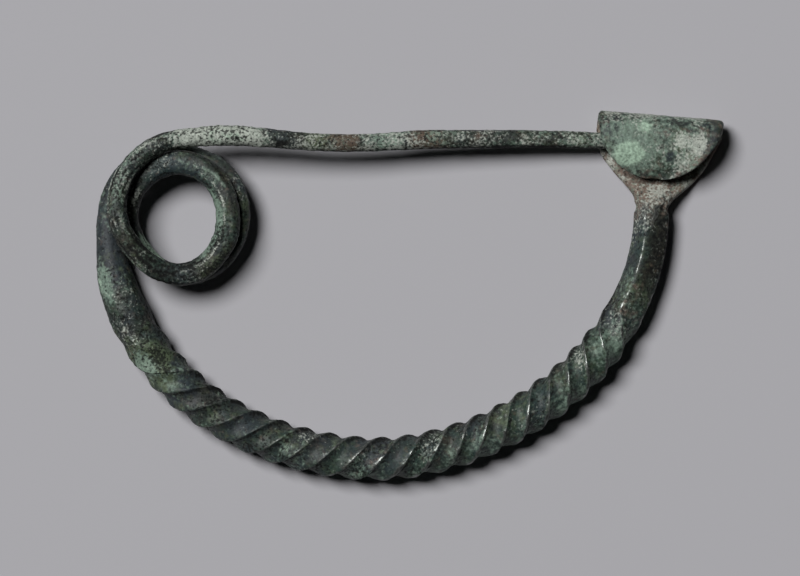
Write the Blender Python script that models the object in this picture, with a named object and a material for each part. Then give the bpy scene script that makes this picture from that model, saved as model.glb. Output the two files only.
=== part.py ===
"""Arched-bow fibula of bronze, made from one length of metal and lying on its side.

The metal starts as a round pin, winds into a spring of two and a quarter turns, swells into a
square rod that is twisted to the left along the bow, runs on untwisted as the leg, and ends in a
plate that is folded back over the end of the pin. The model carries one ring of points along the
centreline of all this, and the ring changes from round to square to flat on the way.

Lengths are in millimetres until the mesh is made, which is in metres. X runs along the pin, Y
from the bow towards the pin, and Z up from the surface that the brooch lies on.
"""

import math

import bpy
import numpy as np

NODE_NAME = "fibula"
METRES_PER_MM = 0.001
RING_POINTS = 16
QUARTER_TURN = 0.5 * math.pi

# Pin: where it lies across the brooch, its height and its radius, from the point to the spring.
PIN_LINE = (
    (37.0, 22.20, 3.00, 0.55),
    (33.5, 22.22, 3.00, 0.95),
    (27.2, 22.28, 3.05, 1.16),
    (15.8, 22.45, 3.85, 1.31),
    (7.2, 22.42, 4.45, 1.31),
    (0.7, 22.30, 4.90, 1.38),
    (-4.3, 22.00, 5.25, 1.26),
    (-11.5, 21.90, 5.75, 1.24),
    (-18.6, 22.40, 6.15, 1.32),
    (-25.8, 22.90, 6.45, 1.44),
)

# Spring: distance of the strand from the spring's middle, and its height, each eighth of a turn
# from the pin round to the bow. The coils are bent out of true and lean: they stand highest on the
# side away from the catch.
SPRING_CENTRE = (-32.53, 11.82)
SPRING_START_DEG = 90.0
SPRING_STEP_DEG = 45.0
SPRING_RADII = (
    10.60, 9.85, 9.10, 8.44, 8.63, 7.45, 6.62, 6.75, 7.25, 7.45,
    7.75, 7.85, 8.80, 8.62, 8.38, 8.40, 8.50, 9.80, 10.72,
)
SPRING_HEIGHTS = (
    6.60, 7.10, 7.85, 7.15, 5.50, 5.75, 6.15, 6.05, 5.70, 4.85,
    3.70, 2.90, 2.40, 3.00, 3.90, 3.75, 3.10, 3.10, 3.12,
)
SPRING_RINGS_PER_EIGHTH = 4
WIRE_RADIUS = 1.38

# Bow: two quarter arcs that meet at the foot of the D. Each is a superellipse with one exponent
# across the brooch and one along its depth, 2 and 2 being a plain ellipse.
BOW_CENTRE = (-4.30, 12.45)
BOW_DEPTH = 35.6
BOW_LEFT_REACH = 38.9
BOW_RIGHT_REACH = 38.8
BOW_LEFT_EXPONENTS = (1.98, 2.20)
BOW_RIGHT_EXPONENTS = (1.78, 2.01)
BOW_START_DEG = 187.0
BOW_STEP_DEG = 1.4

# The crests of the twist that it lies on are worn flat by this much.
BOW_WEAR = 0.06

# The neck, before the twist, leaves the spring at this height and does not touch the ground.
NECK_HEIGHT = 3.12
NECK_LENGTH = 22.0

# Rod along the bow: distance along it, half its side, its squareness (2 is round) and how far its
# faces are hollowed, as a share of half the side.
BOW_ROD = (
    (0.0, 1.45, 2.0, 0.00),
    (4.3, 1.72, 2.0, 0.00),
    (7.2, 2.15, 2.1, 0.00),
    (10.2, 2.55, 2.2, 0.00),
    (14.0, 2.80, 2.4, 0.00),
    (19.0, 2.72, 3.4, 0.01),
    (24.0, 2.50, 7.0, 0.05),
    (94.0, 2.50, 7.0, 0.05),
    (99.0, 2.36, 6.0, 0.02),
    (106.0, 2.23, 4.5, 0.00),
    (118.0, 2.16, 4.0, 0.00),
)

# Twist: quarter turns wound to the left by each distance along the bow. It ends an eighth of a
# turn past a whole face, so that the leg has one corner up.
TWIST_QUARTERS = (
    (13.5, 0.0),
    (23.6, 2.0),
    (49.6, 9.0),
    (69.1, 14.0),
    (97.7, 22.0),
    (101.5, 22.5),
)

# Catch: a plate that fans out from the leg, turns up and over, and comes back above the pin.
CATCH_HEADING_DEG = 84.5
CATCH_LENGTH = 13.5
PLATE_HALF_THICKNESS = 0.65
PLATE_SQUARENESS = 4.0
PLATE_SINK = 0.07
FOLD_RADIUS = 2.2
FOLD_STATIONS = 7
FLAP_DEPTH = 9.03
FLAP_DROP = 1.5
FLAP_LEFT_WIDTH = 8.74
FLAP_RIGHT_WIDTH = 9.25
FLAP_LEFT_FULLNESS = 2.3
FLAP_RIGHT_FULLNESS = 1.8
FLAP_STATIONS = 11
LIP_HALF_THICKNESS = 0.45

# Fan: distance past the leg, width to the left and right, half thickness, and how far the square
# rod has been hammered flat there.
FAN_OUTLINE = (
    (0.9, 2.60, 2.75, 2.20, 0.40),
    (1.9, 2.95, 3.50, 1.80, 0.85),
    (2.9, 3.70, 4.45, 1.40, 1.00),
    (4.0, 4.90, 5.40, 1.05, 1.00),
    (5.1, 6.00, 6.35, 0.80, 1.00),
    (6.3, 7.15, 7.15, 0.67, 1.00),
    (7.5, 7.95, 7.80, 0.65, 1.00),
    (8.8, 8.35, 8.35, 0.65, 1.00),
    (10.0, 8.60, 8.90, 0.65, 1.00),
)

BRONZE_COLOUR = (0.06, 0.075, 0.065, 1.0)
BRONZE_ROUGHNESS = 0.6
BRONZE_METALLIC = 0.4

# One row of the metal holds one station: its place and the shape of its ring.
X, Y, Z, HALF_SIDE, SQUARENESS, HOLLOW, TWIST, FLATNESS, LEFT, RIGHT, THICKNESS = range(11)
FIELDS = 11


def signed_power(values, exponent):
    """Raise the size of each value to a power and keep its sign."""
    return np.sign(values) * np.abs(values) ** exponent


def columns(rows):
    """Turn rows of numbers into one array for each column."""
    return np.array(rows, dtype=float).T


def natural_spline(knots, values, at):
    """Read a natural cubic spline through the values, one to each knot, at the places given."""
    gaps = np.diff(knots)
    slopes = np.diff(values) / gaps
    system = np.eye(len(knots))
    target = np.zeros(len(knots))
    for row in range(1, len(knots) - 1):
        before, after = gaps[row - 1], gaps[row]
        system[row, row - 1 : row + 2] = before, 2.0 * (before + after), after
        target[row] = 6.0 * (slopes[row] - slopes[row - 1])
    bend = np.linalg.solve(system, target)
    span = np.clip(np.searchsorted(knots, at, side="right") - 1, 0, len(gaps) - 1)
    gap = gaps[span]
    past = at - knots[span]
    ahead = gap - past
    curve = (bend[span] * ahead**3 + bend[span + 1] * past**3) / (6.0 * gap)
    start = (values[span] / gap - bend[span] * gap / 6.0) * ahead
    end = (values[span + 1] / gap - bend[span + 1] * gap / 6.0) * past
    return curve + start + end


def corner_reach(half_side, squareness):
    """Distance from the middle of a superellipse to its corner."""
    return half_side * 2.0 ** (0.5 - 1.0 / squareness)


def pin():
    """The straight pin, from its point in the catch to the spring, rising all the way."""
    x, y, height, radius = columns(PIN_LINE)
    metal = np.zeros((len(x), FIELDS))
    metal[:, X] = x
    metal[:, Y] = y
    metal[:, Z] = height
    metal[:, HALF_SIDE] = radius
    metal[:, SQUARENESS] = 2.0
    return metal


def spring():
    """Two and a quarter turns of the same wire, from the pin down and out to the bow."""
    eighths = np.arange(len(SPRING_RADII), dtype=float)
    steps = np.linspace(0.0, eighths[-1], (len(eighths) - 1) * SPRING_RINGS_PER_EIGHTH + 1)
    radius = natural_spline(eighths, np.array(SPRING_RADII), steps)
    angle = np.radians(SPRING_START_DEG + SPRING_STEP_DEG * steps)
    metal = np.zeros((len(steps), FIELDS))
    metal[:, X] = SPRING_CENTRE[0] + radius * np.cos(angle)
    metal[:, Y] = SPRING_CENTRE[1] + radius * np.sin(angle)
    metal[:, Z] = natural_spline(eighths, np.array(SPRING_HEIGHTS), steps)
    metal[:, HALF_SIDE] = WIRE_RADIUS
    metal[:, SQUARENESS] = 2.0
    return metal


def bow_line(angle):
    """Points of the bow's centreline: a superellipse, x and y each a power of cosine and sine."""
    leftward = np.cos(angle) < 0.0
    reach = np.where(leftward, BOW_LEFT_REACH, BOW_RIGHT_REACH)
    across = np.where(leftward, BOW_LEFT_EXPONENTS[0], BOW_RIGHT_EXPONENTS[0])
    along = np.where(leftward, BOW_LEFT_EXPONENTS[1], BOW_RIGHT_EXPONENTS[1])
    x = BOW_CENTRE[0] + reach * signed_power(np.cos(angle), 2.0 / across)
    y = BOW_CENTRE[1] + BOW_DEPTH * signed_power(np.sin(angle), 2.0 / along)
    return x, y


def bow():
    """The arched bow of square rod: swelling out of the wire, twisted, then plain as the leg."""
    fine = np.radians(np.linspace(180.0, 360.0, 1801))
    fine_x, fine_y = bow_line(fine)
    travelled = np.concatenate(([0.0], np.cumsum(np.hypot(np.diff(fine_x), np.diff(fine_y)))))
    angle = np.radians(np.arange(BOW_START_DEG, 360.0, BOW_STEP_DEG))
    distance = np.interp(angle, fine, travelled)
    places, half_sides, squarenesses, hollows = columns(BOW_ROD)
    turned_at, quarters = columns(TWIST_QUARTERS)
    metal = np.zeros((len(angle), FIELDS))
    metal[:, X], metal[:, Y] = bow_line(angle)
    metal[:, HALF_SIDE] = np.interp(distance, places, half_sides)
    metal[:, SQUARENESS] = np.interp(distance, places, squarenesses)
    metal[:, HOLLOW] = np.interp(distance, places, hollows)
    metal[:, TWIST] = -QUARTER_TURN * np.interp(distance, turned_at, quarters)
    resting = corner_reach(metal[:, HALF_SIDE], metal[:, SQUARENESS]) - BOW_WEAR
    metal[:, Z] = np.where(distance < NECK_LENGTH, NECK_HEIGHT, resting)
    return metal


def fan():
    """The plate's first stretch, where the leg is hammered wide and thin."""
    past, left, right, thickness, flatness = columns(FAN_OUTLINE)
    metal = plate_stations(past)
    leg_height = corner_reach(metal[:, HALF_SIDE], metal[:, SQUARENESS]) - BOW_WEAR
    metal[:, Z] = leg_height + (thickness - PLATE_SINK - leg_height) * flatness
    metal[:, FLATNESS] = flatness
    metal[:, LEFT] = left
    metal[:, RIGHT] = right
    metal[:, THICKNESS] = thickness
    return metal


def fold_and_flap():
    """The plate's turn up and over, and the half-round flap that curls down above the pin."""
    start = CATCH_LENGTH - FOLD_RADIUS - PLATE_HALF_THICKNESS
    turn = np.linspace(0.0, math.pi, FOLD_STATIONS)
    share = np.sin(QUARTER_TURN * np.arange(1, FLAP_STATIONS + 1) / (FLAP_STATIONS + 0.5))
    back = share * (start - CATCH_LENGTH + FLAP_DEPTH)
    past = np.concatenate((start + FOLD_RADIUS * np.sin(turn), start - back))
    share = np.concatenate((np.zeros(FOLD_STATIONS), share))
    height = np.concatenate((FOLD_RADIUS * (1.0 - np.cos(turn)), np.full(FLAP_STATIONS, 2.0 * FOLD_RADIUS)))

    depth = np.clip((CATCH_LENGTH - past) / FLAP_DEPTH, 0.0, 1.0)
    depth[: FOLD_STATIONS // 2] = 0.0
    metal = plate_stations(past)
    metal[:, Z] = PLATE_HALF_THICKNESS - PLATE_SINK + height - FLAP_DROP * share**2
    metal[:, FLATNESS] = 1.0
    metal[:, LEFT] = FLAP_LEFT_WIDTH * np.sqrt(1.0 - depth**FLAP_LEFT_FULLNESS)
    metal[:, RIGHT] = FLAP_RIGHT_WIDTH * np.sqrt(1.0 - depth**FLAP_RIGHT_FULLNESS)
    thinning = PLATE_HALF_THICKNESS - LIP_HALF_THICKNESS
    metal[:, THICKNESS] = PLATE_HALF_THICKNESS - thinning * share**2
    return metal


def plate_stations(past):
    """Stations of the plate on the straight line that carries on from the leg."""
    heading = math.radians(CATCH_HEADING_DEG)
    metal = np.zeros((len(past), FIELDS))
    metal[:, X] = BOW_CENTRE[0] + BOW_RIGHT_REACH + past * math.cos(heading)
    metal[:, Y] = BOW_CENTRE[1] + past * math.sin(heading)
    metal[:, HALF_SIDE] = BOW_ROD[-1][1]
    metal[:, SQUARENESS] = BOW_ROD[-1][2]
    metal[:, TWIST] = -QUARTER_TURN * TWIST_QUARTERS[-1][1]
    return metal


def ring_axes(metal):
    """Unit vectors across and up each ring. Rings stand upright, and only the fold tips them."""
    steps = np.diff(metal[:, : Z + 1], axis=0)
    steps /= np.linalg.norm(steps, axis=1)[:, None]
    tangents = np.concatenate((steps[:1], steps[:-1] + steps[1:], steps[-1:]))
    upright = len(metal) - FOLD_STATIONS - FLAP_STATIONS
    tangents[:upright, Z] = 0.0
    tangents /= np.linalg.norm(tangents, axis=1)[:, None]
    across = np.cross((0.0, 0.0, 1.0), tangents)
    heading = math.radians(CATCH_HEADING_DEG)
    across[upright:] = (-math.sin(heading), math.cos(heading), 0.0)
    across /= np.linalg.norm(across, axis=1)[:, None]
    return across, np.cross(tangents, across)


def ring_points(metal):
    """Points of every ring: a hollow-faced square turned by the twist, or a rounded plate."""
    fields = metal[:, :, None].transpose(1, 0, 2)
    start = 2.0 * math.pi * np.arange(RING_POINTS) / RING_POINTS
    side = fields[HALF_SIDE] * (1.0 - fields[HOLLOW] * np.cos(2.0 * start) ** 2)
    rod_across = side * signed_power(np.cos(start), 2.0 / fields[SQUARENESS])
    rod_up = side * signed_power(np.sin(start), 2.0 / fields[SQUARENESS])
    cosine, sine = np.cos(fields[TWIST]), np.sin(fields[TWIST])
    turned_across = rod_across * cosine - rod_up * sine
    turned_up = rod_across * sine + rod_up * cosine

    plate_angle = start + fields[TWIST]
    width = np.where(np.cos(plate_angle) > 0.0, fields[LEFT], fields[RIGHT])
    plate_across = width * signed_power(np.cos(plate_angle), 2.0 / PLATE_SQUARENESS)
    plate_up = fields[THICKNESS] * signed_power(np.sin(plate_angle), 2.0 / PLATE_SQUARENESS)

    across = turned_across + (plate_across - turned_across) * fields[FLATNESS]
    up = turned_up + (plate_up - turned_up) * fields[FLATNESS]
    across_axes, up_axes = ring_axes(metal)
    points = metal[:, None, : Z + 1] + across[..., None] * across_axes[:, None]
    points = points + up[..., None] * up_axes[:, None]
    points[..., Z] = np.maximum(points[..., Z], 0.0)
    return points


def skin(ring_count):
    """Quads between neighbouring rings, and one face to close each end."""
    ring, place = np.meshgrid(np.arange(ring_count - 1), np.arange(RING_POINTS), indexing="ij")
    here = (ring * RING_POINTS + place).ravel()
    beside = (ring * RING_POINTS + (place + 1) % RING_POINTS).ravel()
    quads = np.stack((here, beside, beside + RING_POINTS, here + RING_POINTS), axis=1)
    first = list(range(RING_POINTS - 1, -1, -1))
    last = list(range((ring_count - 1) * RING_POINTS, ring_count * RING_POINTS))
    return quads.tolist() + [first, last]


def bronze():
    """Bronze under a dark green patina."""
    material = bpy.data.materials.new("patinated_bronze")
    material.use_nodes = True
    shader = material.node_tree.nodes["Principled BSDF"]
    shader.inputs["Base Color"].default_value = BRONZE_COLOUR
    shader.inputs["Roughness"].default_value = BRONZE_ROUGHNESS
    shader.inputs["Metallic"].default_value = BRONZE_METALLIC
    return material


def add_fibula():
    """Join the stretches, skin their rings and add the object, centred over its origin."""
    metal = np.concatenate((pin(), spring(), bow(), fan(), fold_and_flap()))
    points = ring_points(metal)
    middle = 0.5 * (points.min(axis=(0, 1)) + points.max(axis=(0, 1)))
    points[..., :Z] -= middle[:Z]

    mesh = bpy.data.meshes.new(NODE_NAME)
    vertices = METRES_PER_MM * points.reshape(-1, 3)
    mesh.from_pydata(vertices.tolist(), [], skin(len(metal)))
    mesh.update()
    mesh.shade_smooth()
    mesh.materials.append(bronze())
    fibula = bpy.data.objects.new(NODE_NAME, mesh)
    bpy.context.scene.collection.objects.link(fibula)


def main():
    """Clear the scene and model the brooch."""
    for old in list(bpy.data.objects):
        bpy.data.objects.remove(old, do_unlink=True)
    add_fibula()


main()
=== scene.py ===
"""Looks of an arched-bow fibula of patinated bronze, lying on its side on a pale table.

The brooch is one length of bronze: a pin, a spring of two and a quarter turns, a twisted bow, a
leg, and a catch plate folded back over the pin. It is built here as one skin of rings along that
metal, fine enough to carry forging marks, corrosion pits and crusts, and it takes the place of
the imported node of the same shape. Lengths are in millimetres until the mesh is made, which is in
metres. "Along" is measured from the tip of the pin, and "aside" to the left of the way there.
"""

import itertools
import logging
import math
from dataclasses import dataclass, field
from enum import Enum, IntEnum

import bpy
import numpy as np
from bpy.types import Material, Node, NodeSocket, NodeTree, Object
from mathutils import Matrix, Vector


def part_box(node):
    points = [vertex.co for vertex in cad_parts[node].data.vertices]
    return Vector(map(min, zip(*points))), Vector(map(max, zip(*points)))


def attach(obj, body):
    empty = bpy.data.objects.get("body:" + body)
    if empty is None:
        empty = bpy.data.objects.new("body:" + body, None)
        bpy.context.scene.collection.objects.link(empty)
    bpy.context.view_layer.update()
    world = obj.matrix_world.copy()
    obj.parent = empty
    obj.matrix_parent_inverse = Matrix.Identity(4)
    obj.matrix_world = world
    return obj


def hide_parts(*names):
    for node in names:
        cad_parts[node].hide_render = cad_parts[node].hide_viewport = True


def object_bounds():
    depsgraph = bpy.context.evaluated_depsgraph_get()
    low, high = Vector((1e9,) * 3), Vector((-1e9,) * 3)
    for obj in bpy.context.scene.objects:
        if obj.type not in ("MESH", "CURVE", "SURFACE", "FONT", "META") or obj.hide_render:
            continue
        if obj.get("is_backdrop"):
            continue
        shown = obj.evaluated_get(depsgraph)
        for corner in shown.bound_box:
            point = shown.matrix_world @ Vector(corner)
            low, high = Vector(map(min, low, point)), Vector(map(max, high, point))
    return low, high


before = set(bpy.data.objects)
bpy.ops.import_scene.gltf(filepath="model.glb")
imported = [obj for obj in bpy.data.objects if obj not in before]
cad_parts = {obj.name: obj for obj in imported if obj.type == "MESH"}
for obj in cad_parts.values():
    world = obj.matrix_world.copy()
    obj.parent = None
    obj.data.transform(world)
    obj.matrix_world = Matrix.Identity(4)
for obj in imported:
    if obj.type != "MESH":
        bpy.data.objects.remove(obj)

NODE_NAME = "fibula"
BODY_NAME = "root"
METRES_PER_MM = 0.001
QUARTER_TURN = 0.5 * math.pi

log = logging.getLogger("fibula")


class Column(IntEnum):
    """What one row of the metal holds: the place of a ring and its shape."""

    X = 0
    Y = 1
    Z = 2
    HALF_SIDE = 3
    SQUARENESS = 4
    HOLLOW = 5
    TWIST = 6
    FLATNESS = 7
    LEFT = 8
    RIGHT = 9
    THICKNESS = 10
    CROWN = 11
    DOME = 12
    TIPPED = 13


class Coat(Enum):
    """Kinds of corrosion and wear, and a near-black one that holds painted shade, each a cover from 0 to 1
    kept on the mesh as an attribute.
    """

    FILM = "film"
    TEAL = "teal"
    SLATE = "slate"
    OLIVE = "olive"
    MINT = "mint"
    LIME = "lime"
    BLOOM = "bloom"
    CHALK = "chalk"
    SAND = "sand"
    COPPER = "copper"
    DIRT_AND_SHADE = "dirt_and_shade"
    WORN = "worn"
    PORES = "pores"


# A crown this high cuts nothing, and a ring with this twist has its first point at the top.
NO_CROWN = 99.0
START_ON_TOP = 1.5 * QUARTER_TURN


def linear_colour(hex_code: str) -> tuple[float, float, float, float]:
    """Turn an sRGB hex colour into linear red, green, blue and an alpha of one.

    Args:
        hex_code: six hex digits after a hash sign.

    Returns:
        The colour as the shader wants it.
    """
    srgb = np.array([int(hex_code[at : at + 2], 16) for at in (1, 3, 5)]) / 255.0
    linear = np.where(srgb <= 0.04045, srgb / 12.92, ((srgb + 0.055) / 1.055) ** 2.4)
    return (*linear.tolist(), 1.0)


def signed_power(values: np.ndarray, exponent: np.ndarray | float) -> np.ndarray:
    """Raise the size of each value to a power and keep its sign."""
    return np.sign(values) * np.abs(values) ** exponent


def smooth_step(values: np.ndarray, low: np.ndarray | float, high: float) -> np.ndarray:
    """Ease from 0 at low to 1 at high: three times the square less twice the cube of the share."""
    share = np.clip((values - low) / (high - low), 0.0, 1.0)
    return share * share * (3.0 - 2.0 * share)


def columns(rows: tuple) -> np.ndarray:
    """Turn rows of numbers into one array for each column."""
    return np.array(rows, dtype=float).T


def natural_spline(knots: np.ndarray, values: np.ndarray, at: np.ndarray) -> np.ndarray:
    """Read a natural cubic spline: cubic pieces whose slopes and bends agree at each knot.

    Args:
        knots: rising places of the values.
        values: one row for each knot.
        at: the places to read.

    Returns:
        One row of values for each place.
    """
    flat = values.ndim == 1
    table = values[:, None] if flat else values
    gaps = np.diff(knots)
    slopes = np.diff(table, axis=0) / gaps[:, None]
    inner = np.arange(1, len(knots) - 1)
    system = np.eye(len(knots))
    system[inner, inner - 1] = gaps[:-1]
    system[inner, inner] = 2.0 * (gaps[:-1] + gaps[1:])
    system[inner, inner + 1] = gaps[1:]
    target = np.zeros_like(table)
    target[inner] = 6.0 * np.diff(slopes, axis=0)
    bend = np.linalg.solve(system, target)
    span = np.clip(np.searchsorted(knots, at, side="right") - 1, 0, len(gaps) - 1)
    gap = gaps[span, None]
    past = (at - knots[span])[:, None]
    ahead = gap - past
    curve = (bend[span] * ahead**3 + bend[span + 1] * past**3) / (6.0 * gap)
    start = (table[span] / gap - bend[span] * gap / 6.0) * ahead
    end = (table[span + 1] / gap - bend[span + 1] * gap / 6.0) * past
    read = curve + start + end
    return read[:, 0] if flat else read


def corner_reach(half_side: np.ndarray | float, squareness: np.ndarray | float) -> np.ndarray | float:
    """Distance from the middle of a superellipse to its corner."""
    return half_side * 2.0 ** (0.5 - 1.0 / squareness)


def travelled(places: np.ndarray) -> np.ndarray:
    """Distance along a row of points, from the first."""
    steps = np.linalg.norm(np.diff(places, axis=0), axis=1)
    return np.concatenate(([0.0], np.cumsum(steps)))


def metal_rows(count: int, **shape: np.ndarray | float) -> np.ndarray:
    """Rows of metal. Columns that aren't given are zero, with no crown and the ring's start on top.

    Args:
        count: how many rows.
        shape: one value for each row, or one for all, by a column's name in small letters.

    Returns:
        The rows.
    """
    rows = np.zeros((count, len(Column)))
    for name, values in ({"crown": NO_CROWN, "twist": START_ON_TOP} | shape).items():
        rows[:, Column[name.upper()]] = values
    return rows


def ring_quads(first: int, rings: int, around: int) -> np.ndarray:
    """Quads between neighbouring rings of points, each ring closed on itself.

    Args:
        first: number of the first point.
        rings: how many rings there are.
        around: points in each ring.

    Returns:
        Four point numbers for each quad.
    """
    ring, place = np.meshgrid(np.arange(rings - 1), np.arange(around), indexing="ij")
    here = first + (ring * around + place).ravel()
    beside = first + (ring * around + (place + 1) % around).ravel()
    return np.stack((here, beside, beside + around, here + around), axis=1)


@dataclass(frozen=True)
class Pin:
    """The straight round pin, from its point in the catch back to the spring."""

    line: tuple = (
        (37.0, 22.20, 3.00, 0.55),
        (33.5, 22.22, 3.00, 0.95),
        (27.2, 22.28, 3.05, 1.16),
        (15.8, 22.45, 3.85, 1.31),
        (7.2, 22.42, 4.45, 1.31),
        (0.7, 22.30, 4.90, 1.38),
        (-4.3, 22.00, 5.25, 1.26),
        (-11.5, 21.90, 5.75, 1.24),
        (-18.6, 22.40, 6.15, 1.32),
        (-25.8, 22.90, 6.45, 1.44),
    )
    spacing: float = 0.30
    points_around: int = 40

    def rows(self) -> np.ndarray:
        """Rows at the pin's knots, from the tip, rising all the way to the spring."""
        x, y, height, radius = columns(self.line)
        return metal_rows(len(x), x=x, y=y, z=height, half_side=radius, squareness=2.0)


@dataclass(frozen=True)
class Spring:
    """Two and a quarter turns of round wire, a little crushed and leaning, down to the bow."""

    centre: tuple = (-32.53, 11.82)
    start_deg: float = 90.0
    step_deg: float = 45.0
    radii: tuple = (
        10.60, 9.85, 9.10, 8.44, 8.63, 7.45, 6.62, 6.75, 7.25, 7.45,
        7.75, 7.85, 8.80, 8.62, 8.38, 8.40, 8.50, 9.80, 10.72,
    )
    heights: tuple = (
        6.60, 7.10, 7.85, 7.15, 5.50, 5.75, 6.15, 6.05, 5.70, 4.85,
        3.70, 2.90, 2.40, 3.00, 3.90, 3.75, 3.10, 3.10, 3.12,
    )
    broadened: tuple = (0, 0, 0, 0.3, 0.6, 0.8, 0.9, 0.9, 1.0, 0.7, 0.3, 0, 0, 0, 0, 0, 0, 0, 0)
    broad_half_width: float = 1.75
    broad_half_thickness: float = 1.28
    rows_per_step: int = 4
    wire_radius: float = 1.38
    spacing: float = 0.26
    points_around: int = 40

    def rows(self) -> np.ndarray:
        """Rows on a spline of radius and height over the angle turned."""
        eighths = np.arange(len(self.radii), dtype=float)
        steps = np.linspace(0.0, eighths[-1], (len(eighths) - 1) * self.rows_per_step + 1)
        radius = natural_spline(eighths, np.array(self.radii), steps)
        angle = np.radians(self.start_deg + self.step_deg * steps)
        return metal_rows(
            len(steps),
            x=self.centre[0] + radius * np.cos(angle),
            y=self.centre[1] + radius * np.sin(angle),
            z=natural_spline(eighths, np.array(self.heights), steps),
            half_side=self.wire_radius,
            squareness=2.0,
            flatness=np.interp(steps, eighths, self.broadened),
            left=self.broad_half_width,
            right=self.broad_half_width,
            thickness=self.broad_half_thickness,
        )


@dataclass(frozen=True)
class Bow:
    """The arched bow of square rod: swelling out of the wire, twisted, then plain as the leg."""

    centre: tuple = (-4.30, 12.45)
    depth: float = 35.6
    left_reach: float = 38.9
    right_reach: float = 38.8
    left_exponents: tuple = (1.98, 2.20)
    right_exponents: tuple = (1.78, 2.01)
    start_deg: float = 187.0
    step_deg: float = 1.4
    crest_wear: float = 0.06
    neck_height: float = 3.12
    neck_length: float = 22.0
    rod: tuple = (
        (0.0, 1.45, 2.0, 0.00),
        (4.3, 1.72, 2.0, 0.00),
        (7.2, 2.15, 2.1, 0.00),
        (10.2, 2.55, 2.2, 0.00),
        (14.0, 2.80, 2.4, 0.00),
        (19.0, 2.80, 2.8, 0.03),
        (24.0, 2.76, 3.2, 0.09),
        (94.0, 2.76, 3.2, 0.09),
        (99.0, 2.46, 3.8, 0.03),
        (106.0, 2.18, 5.0, 0.00),
        (118.0, 2.08, 5.0, 0.00),
    )
    twist_quarters: tuple = (
        (0.0, -1.5),
        (13.5, 0.0),
        (23.6, 2.0),
        (49.6, 9.0),
        (69.1, 14.0),
        (97.7, 22.0),
        (101.5, 22.70),
    )
    leg_bevel: tuple = ((111.0, 0.0), (114.0, 0.10), (116.0, 0.45), (118.0, 0.85))
    spacing: float = 0.23
    points_around: int = 80

    def line(self, angle: np.ndarray) -> tuple[np.ndarray, np.ndarray]:
        """The bow's centreline: a superellipse, x and y each a power of cosine and sine.

        Args:
            angle: where on the curve, in radians.

        Returns:
            X and y of the points.
        """
        leftward = np.cos(angle) < 0.0
        reach = np.where(leftward, self.left_reach, self.right_reach)
        across = np.where(leftward, self.left_exponents[0], self.right_exponents[0])
        along = np.where(leftward, self.left_exponents[1], self.right_exponents[1])
        x = self.centre[0] + reach * signed_power(np.cos(angle), 2.0 / across)
        y = self.centre[1] + self.depth * signed_power(np.sin(angle), 2.0 / along)
        return x, y

    def rows(self) -> np.ndarray:
        """Rows along the bow. The crests of the twist rest on the table, worn a little flat."""
        fine = np.radians(np.linspace(180.0, 360.0, 1801))
        length = travelled(np.stack(self.line(fine), axis=1))
        angle = np.radians(np.arange(self.start_deg, 360.0, self.step_deg))
        distance = np.interp(angle, fine, length)
        places, half_sides, squarenesses, hollows = columns(self.rod)
        turned_at, quarters = columns(self.twist_quarters)
        bevel_at, bevels = columns(self.leg_bevel)
        x, y = self.line(angle)
        half_side = np.interp(distance, places, half_sides)
        squareness = np.interp(distance, places, squarenesses)
        reach = corner_reach(half_side, squareness)
        crown = reach - np.interp(distance, bevel_at, bevels)
        return metal_rows(
            len(angle),
            x=x,
            y=y,
            z=np.where(distance < self.neck_length, self.neck_height, reach - self.crest_wear),
            half_side=half_side,
            squareness=squareness,
            hollow=np.interp(distance, places, hollows),
            twist=-QUARTER_TURN * np.interp(distance, turned_at, quarters),
            crown=np.where(distance > bevel_at[0], crown, NO_CROWN),
        )


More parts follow.
